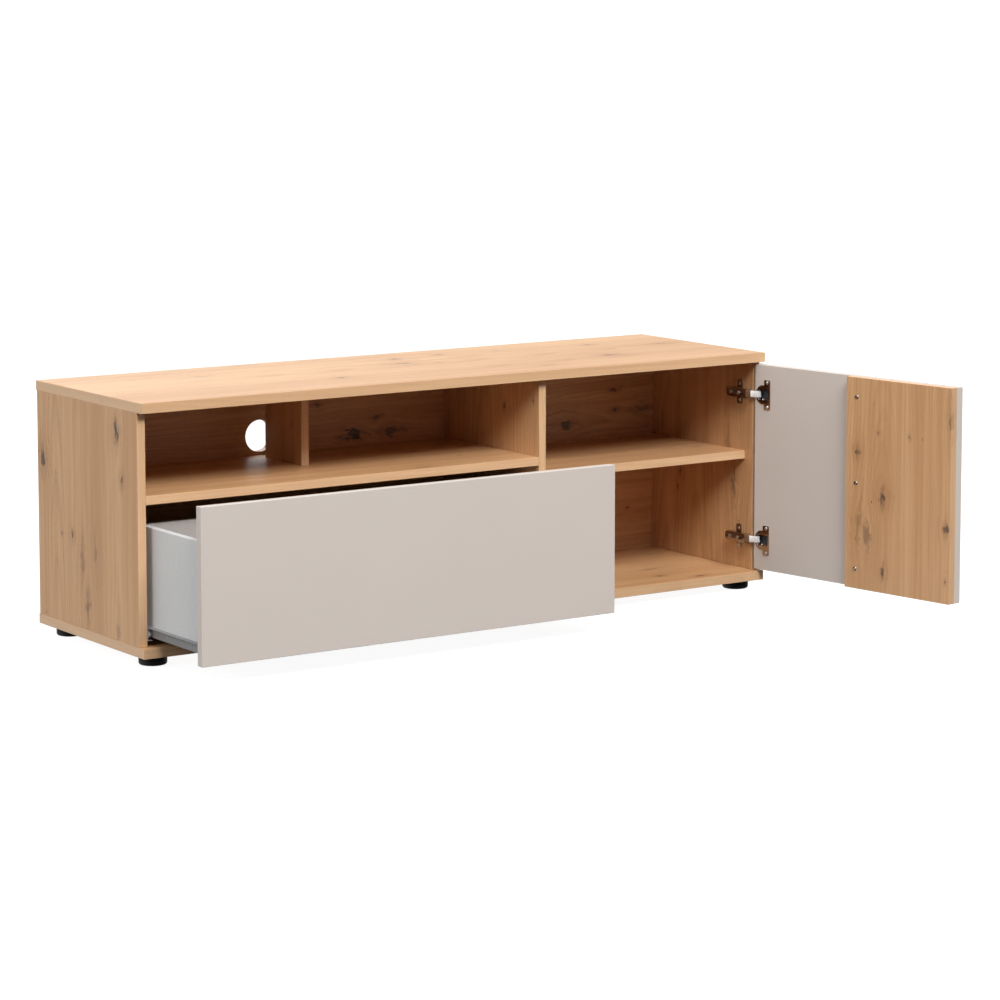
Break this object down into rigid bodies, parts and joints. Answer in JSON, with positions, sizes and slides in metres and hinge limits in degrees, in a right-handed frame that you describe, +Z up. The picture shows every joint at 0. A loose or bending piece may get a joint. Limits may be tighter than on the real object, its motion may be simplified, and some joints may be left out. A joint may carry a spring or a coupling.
{
  "type": "tv stand",
  "caption": "Low TV stand with open niches, a sliding drawer and a hinged door of grey board, slats and oak, on round feet.",
  "frame": {"origin": "on the floor, under the centre of the carcass (drawer and door left out of account)", "axes": "+X to the cabinet's right seen from the front, +Y from its front to its back, +Z up"},
  "size_m": [1.4332, 0.8883, 0.462],
  "materials": {
    "oak_board": "satin knotty oak decor board with edge banding",
    "grey_front": "smooth matt warm grey board",
    "drawer_box": "light grey board with a fine textile texture",
    "hinge_metal": "nickel-plated pressed steel",
    "runner_steel": "grey powder-coated sheet steel",
    "roller_nylon": "white moulded nylon",
    "foot_plastic": "black moulded plastic",
    "screw_steel": "zinc-plated steel",
    "beech_dowel": "plain beech"
  },
  "bodies": {
    "cabinet": {"bottom_panel": "oak_board", "top_panel": "oak_board", "left_side_panel": "oak_board", "centre_divider": "oak_board", "right_side_panel": "oak_board", "niche_shelf": "oak_board", "niche_partition": "oak_board", "right_shelf": "oak_board", "left_back_panel": "oak_board", "right_back_panel": "oak_board", "foot_front_left": "foot_plastic", "foot_rear_left": "foot_plastic", "foot_front_right": "foot_plastic", "foot_rear_right": "foot_plastic", "foot_middle": "foot_plastic", "carcass_dowels": "beech_dowel", "carcass_screws": "screw_steel", "shelf_pins": "screw_steel", "cabinet_runner_left": "runner_steel", "cabinet_runner_right": "runner_steel", "runner_screws": "screw_steel", "hinge_plate_lower": "hinge_metal", "hinge_plate_upper": "hinge_metal", "hinge_arm_lower": "hinge_metal", "hinge_arm_upper": "hinge_metal", "hinge_plate_screws": "screw_steel", "hinge_adjusters": "screw_steel"},
    "drawer": {"drawer_front": "grey_front", "drawer_left_side": "drawer_box", "drawer_right_side": "drawer_box", "drawer_back": "drawer_box", "drawer_bottom": "drawer_box", "drawer_runner_left": "runner_steel", "drawer_runner_right": "runner_steel", "drawer_dowels": "beech_dowel", "drawer_screws": "screw_steel"},
    "door": {"door_main_board": "grey_front", "door_oak_board": "oak_board", "door_slat_1": "grey_front", "door_slat_2": "grey_front", "door_slat_3": "grey_front", "door_slat_4": "grey_front", "door_slat_5": "grey_front", "door_slat_dowels": "beech_dowel", "door_joint_screws": "hinge_metal", "hinge_cup_lower": "hinge_metal", "hinge_cup_upper": "hinge_metal", "hinge_cup_screws": "screw_steel"},
    "front_roller_left": {"front_roller_left": "roller_nylon"},
    "front_roller_right": {"front_roller_right": "roller_nylon"},
    "rear_roller_left": {"rear_roller_left": "roller_nylon"},
    "rear_roller_right": {"rear_roller_right": "roller_nylon"},
    "hinge_link_lower": {"hinge_link_lower": "hinge_metal"},
    "hinge_link_upper": {"hinge_link_upper": "hinge_metal"}
  },
  "joints": [
    {"name": "drawer_slide", "type": "slide", "parent": "cabinet", "child": "drawer", "axis": [0, -1, 0], "range_m": [-0.2, 0.01]},
    {"name": "door_hinge", "type": "hinge", "parent": "cabinet", "child": "door", "pos_m": [0.674, -0.194, 0.24], "axis": [0, 0, 1], "range_deg": [-98.5, 4]},
    {"name": "hinge_link_lower_pivot", "type": "hinge", "parent": "door", "child": "hinge_link_lower", "pos_m": [0.66824, -0.19941, 0.098], "axis": [0, 0, 1], "range_deg": [-6, 136.5]},
    {"name": "hinge_link_upper_pivot", "type": "hinge", "parent": "door", "child": "hinge_link_upper", "pos_m": [0.66824, -0.19941, 0.382], "axis": [0, 0, 1], "range_deg": [-6, 136.5]},
    {"name": "front_roller_left_spin", "type": "hinge", "parent": "cabinet", "child": "front_roller_left", "pos_m": [-0.6573, -0.1705, 0.0585], "axis": [1, 0, 0], "range_deg": [-1280, 70]},
    {"name": "rear_roller_left_spin", "type": "hinge", "parent": "drawer", "child": "rear_roller_left", "pos_m": [-0.6573, -0.142, 0.0565], "axis": [1, 0, 0], "range_deg": [-1280, 70]},
    {"name": "front_roller_right_spin", "type": "hinge", "parent": "cabinet", "child": "front_roller_right", "pos_m": [0.1523, -0.1705, 0.0585], "axis": [1, 0, 0], "range_deg": [-1280, 70]},
    {"name": "rear_roller_right_spin", "type": "hinge", "parent": "drawer", "child": "rear_roller_right", "pos_m": [0.1523, -0.142, 0.0565], "axis": [1, 0, 0], "range_deg": [-1280, 70]}
  ],
  "couplings": [
    {"joint": "hinge_link_lower_pivot", "follows": "door_hinge", "ratio": -1.3756},
    {"joint": "hinge_link_upper_pivot", "follows": "door_hinge", "ratio": -1.3756},
    {"joint": "front_roller_left_spin", "follows": "drawer_slide", "rad_per_m": 111.11},
    {"joint": "rear_roller_left_spin", "follows": "drawer_slide", "rad_per_m": 111.11},
    {"joint": "front_roller_right_spin", "follows": "drawer_slide", "rad_per_m": 111.11},
    {"joint": "rear_roller_right_spin", "follows": "drawer_slide", "rad_per_m": 111.11}
  ]
}
